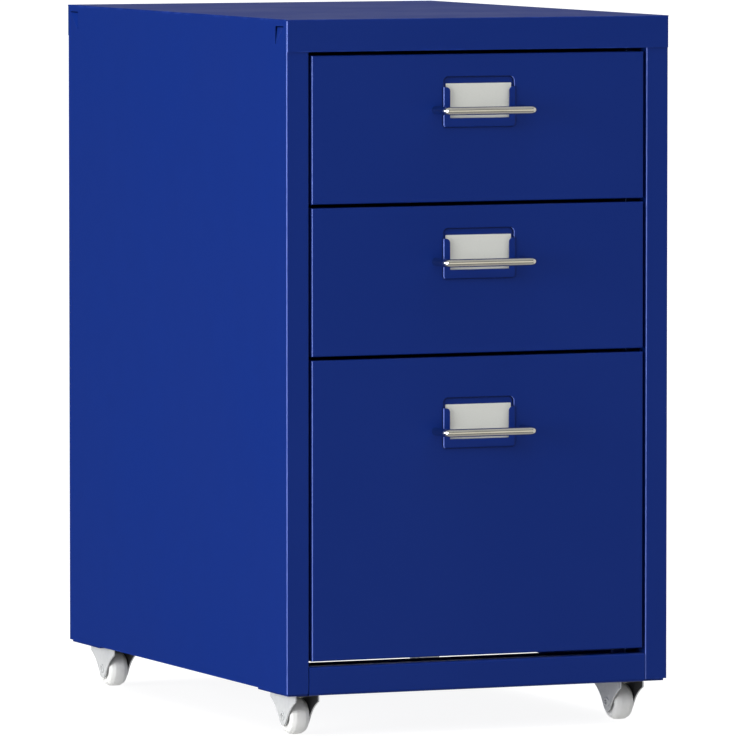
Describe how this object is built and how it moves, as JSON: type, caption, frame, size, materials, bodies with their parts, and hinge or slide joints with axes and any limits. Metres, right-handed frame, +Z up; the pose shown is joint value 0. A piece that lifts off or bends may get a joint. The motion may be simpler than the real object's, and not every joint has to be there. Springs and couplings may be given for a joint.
{
  "type": "mobile drawer pedestal",
  "caption": "Mobile drawer pedestal of folded blue sheet steel: shallow drawers over a deep one, with bow handles and label pockets, on ball slides and small swivel casters.",
  "frame": {"origin": "on the floor below the middle of the whole object's box, handles included", "axes": "+Z up; the drawers open towards -Y; +X to the right when facing the drawers"},
  "size_m": [0.348, 0.5382, 0.6],
  "materials": {
    "blue_paint": "semi-gloss powder coat",
    "zinc_steel": "zinc plate",
    "bright_zinc": "bright zinc plate",
    "polished_steel": "polished",
    "card": "matt card",
    "white_plastic": "moulded"
  },
  "bodies": {
    "cabinet": {"top_cover": "blue_paint", "side_panel_left": "blue_paint", "side_panel_right": "blue_paint", "back_panel": "blue_paint", "front_base_rail": "blue_paint", "rear_base_rail": "blue_paint", "slide_upright_front_left": "blue_paint", "slide_upright_front_right": "blue_paint", "slide_upright_rear_left": "blue_paint", "slide_upright_rear_right": "blue_paint", "slide_channel_top_left": "zinc_steel", "slide_channel_top_right": "zinc_steel", "slide_channel_middle_left": "zinc_steel", "slide_channel_middle_right": "zinc_steel", "slide_channel_bottom_left": "zinc_steel", "slide_channel_bottom_right": "zinc_steel", "caster_kingpins": "zinc_steel", "swivel_washers": "zinc_steel"},
    "drawer_top": {"drawer_front_top": "blue_paint", "drawer_tray_top": "blue_paint", "drawer_handle_top": "polished_steel", "label_card_top": "card", "handle_screws_top": "zinc_steel", "slide_rail_top_left": "zinc_steel", "slide_rail_top_right": "zinc_steel"},
    "slide_balls_top": {"ball_cage_top_left": "zinc_steel", "ball_cage_top_right": "zinc_steel"},
    "drawer_middle": {"drawer_front_middle": "blue_paint", "drawer_tray_middle": "blue_paint", "drawer_handle_middle": "polished_steel", "label_card_middle": "card", "handle_screws_middle": "zinc_steel", "slide_rail_middle_left": "zinc_steel", "slide_rail_middle_right": "zinc_steel"},
    "slide_balls_middle": {"ball_cage_middle_left": "zinc_steel", "ball_cage_middle_right": "zinc_steel"},
    "drawer_bottom": {"drawer_front_bottom": "blue_paint", "drawer_tray_bottom": "blue_paint", "drawer_handle_bottom": "polished_steel", "label_card_bottom": "card", "handle_screws_bottom": "zinc_steel", "slide_rail_bottom_left": "zinc_steel", "slide_rail_bottom_right": "zinc_steel"},
    "slide_balls_bottom": {"ball_cage_bottom_left": "zinc_steel", "ball_cage_bottom_right": "zinc_steel"},
    "swivel_front_left": {"caster_fork_front_left": "bright_zinc", "caster_axle_front_left": "bright_zinc"},
    "roller_front_left": {"caster_wheel_front_left": "white_plastic"},
    "swivel_front_right": {"caster_fork_front_right": "bright_zinc", "caster_axle_front_right": "bright_zinc"},
    "roller_front_right": {"caster_wheel_front_right": "white_plastic"},
    "swivel_rear_left": {"caster_fork_rear_left": "bright_zinc", "caster_axle_rear_left": "bright_zinc"},
    "roller_rear_left": {"caster_wheel_rear_left": "white_plastic"},
    "swivel_rear_right": {"caster_fork_rear_right": "bright_zinc", "caster_axle_rear_right": "bright_zinc"},
    "roller_rear_right": {"caster_wheel_rear_right": "white_plastic"}
  },
  "joints": [
    {"name": "drawer_slide_top", "type": "slide", "parent": "cabinet", "child": "drawer_top", "axis": [0, -1, 0], "range_m": [0, 0.35]},
    {"name": "ball_slide_top", "type": "slide", "parent": "cabinet", "child": "slide_balls_top", "axis": [0, -1, 0], "range_m": [0, 0.175]},
    {"name": "drawer_slide_middle", "type": "slide", "parent": "cabinet", "child": "drawer_middle", "axis": [0, -1, 0], "range_m": [0, 0.35]},
    {"name": "ball_slide_middle", "type": "slide", "parent": "cabinet", "child": "slide_balls_middle", "axis": [0, -1, 0], "range_m": [0, 0.175]},
    {"name": "drawer_slide_bottom", "type": "slide", "parent": "cabinet", "child": "drawer_bottom", "axis": [0, -1, 0], "range_m": [0, 0.35]},
    {"name": "ball_slide_bottom", "type": "slide", "parent": "cabinet", "child": "slide_balls_bottom", "axis": [0, -1, 0], "range_m": [0, 0.175]},
    {"name": "caster_swivel_front_left", "type": "hinge", "parent": "cabinet", "child": "swivel_front_left", "pos_m": [-0.149, -0.2059, 0.0355], "axis": [0, 0, 1], "continuous": true},
    {"name": "wheel_spin_front_left", "type": "hinge", "parent": "swivel_front_left", "child": "roller_front_left", "pos_m": [-0.149, -0.1959, 0.0155], "axis": [1, 0, 0], "continuous": true},
    {"name": "caster_swivel_front_right", "type": "hinge", "parent": "cabinet", "child": "swivel_front_right", "pos_m": [0.149, -0.2059, 0.0355], "axis": [0, 0, 1], "continuous": true},
    {"name": "wheel_spin_front_right", "type": "hinge", "parent": "swivel_front_right", "child": "roller_front_right", "pos_m": [0.149, -0.1959, 0.0155], "axis": [1, 0, 0], "continuous": true},
    {"name": "caster_swivel_rear_left", "type": "hinge", "parent": "cabinet", "child": "swivel_rear_left", "pos_m": [-0.149, 0.2341, 0.0355], "axis": [0, 0, 1], "continuous": true},
    {"name": "wheel_spin_rear_left", "type": "hinge", "parent": "swivel_rear_left", "child": "roller_rear_left", "pos_m": [-0.149, 0.2241, 0.0155], "axis": [1, 0, 0], "continuous": true},
    {"name": "caster_swivel_rear_right", "type": "hinge", "parent": "cabinet", "child": "swivel_rear_right", "pos_m": [0.149, 0.2341, 0.0355], "axis": [0, 0, 1], "continuous": true},
    {"name": "wheel_spin_rear_right", "type": "hinge", "parent": "swivel_rear_right", "child": "roller_rear_right", "pos_m": [0.149, 0.2241, 0.0155], "axis": [1, 0, 0], "continuous": true}
  ],
  "couplings": [
    {"joint": "ball_slide_top", "follows": "drawer_slide_top", "ratio": 0.5},
    {"joint": "ball_slide_middle", "follows": "drawer_slide_middle", "ratio": 0.5},
    {"joint": "ball_slide_bottom", "follows": "drawer_slide_bottom", "ratio": 0.5}
  ]
}
